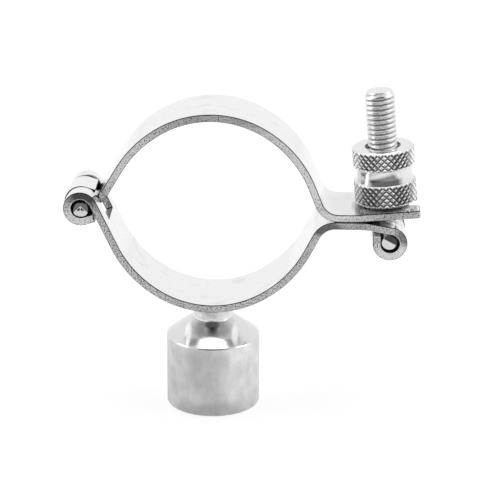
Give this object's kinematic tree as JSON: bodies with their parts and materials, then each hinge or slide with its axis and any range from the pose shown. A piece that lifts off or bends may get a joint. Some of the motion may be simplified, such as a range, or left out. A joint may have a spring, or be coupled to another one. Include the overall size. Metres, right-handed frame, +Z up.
{
  "type": "hinged pipe hanger",
  "caption": "Hinged ring of bent steel strip that clamps round a tube, closed by a swing bolt with a round knurled nut, on a turned boss with a tapped hole for its support rod.",
  "frame": {"origin": "centre of the boss's lower face, at the mouth of its tapped hole", "axes": "+Z up along the boss towards the ring, +X from the hinge towards the swing bolt, +Y along the clamped tube, away from the viewer"},
  "size_m": [0.0714, 0.0192, 0.0674],
  "materials": {
    "polished_strip": "polished stainless strip with sheared edges",
    "pin_steel": "bright drawn stainless wire",
    "bolt_steel": "rolled stainless thread",
    "nut_steel": "turned and knurled stainless",
    "turned_steel": "fine turned stainless",
    "weld_steel": "cleaned stainless weld bead"
  },
  "bodies": {
    "lower_clamp": {"lower_band": "polished_strip", "socket_boss": "turned_steel", "boss_weld": "weld_steel", "hinge_pin": "pin_steel", "bolt_pin": "pin_steel"},
    "upper_clamp": {"upper_band": "polished_strip"},
    "bolt": {"swing_bolt": "bolt_steel"},
    "nut": {"knurled_nut": "nut_steel"}
  },
  "joints": [
    {"name": "clamp_hinge", "type": "hinge", "parent": "lower_clamp", "child": "upper_clamp", "pos_m": [-0.02615, 0, 0.04365], "axis": [0, -1, 0], "range_deg": [0, 60]},
    {"name": "bolt_swing", "type": "hinge", "parent": "lower_clamp", "child": "bolt", "pos_m": [0.0355, 0, 0.0377], "axis": [0, 1, 0], "range_deg": [0, 90]},
    {"name": "nut_travel", "type": "slide", "parent": "bolt", "child": "nut", "axis": [-0.0872, 0, 0.9962], "range_m": [0, 0.08]}
  ],
  "couplings": [
    {"joint": "bolt_swing", "follows": "clamp_hinge", "ratio": 1.5},
    {"joint": "nut_travel", "follows": "clamp_hinge", "m_per_rad": 0.07639}
  ]
}
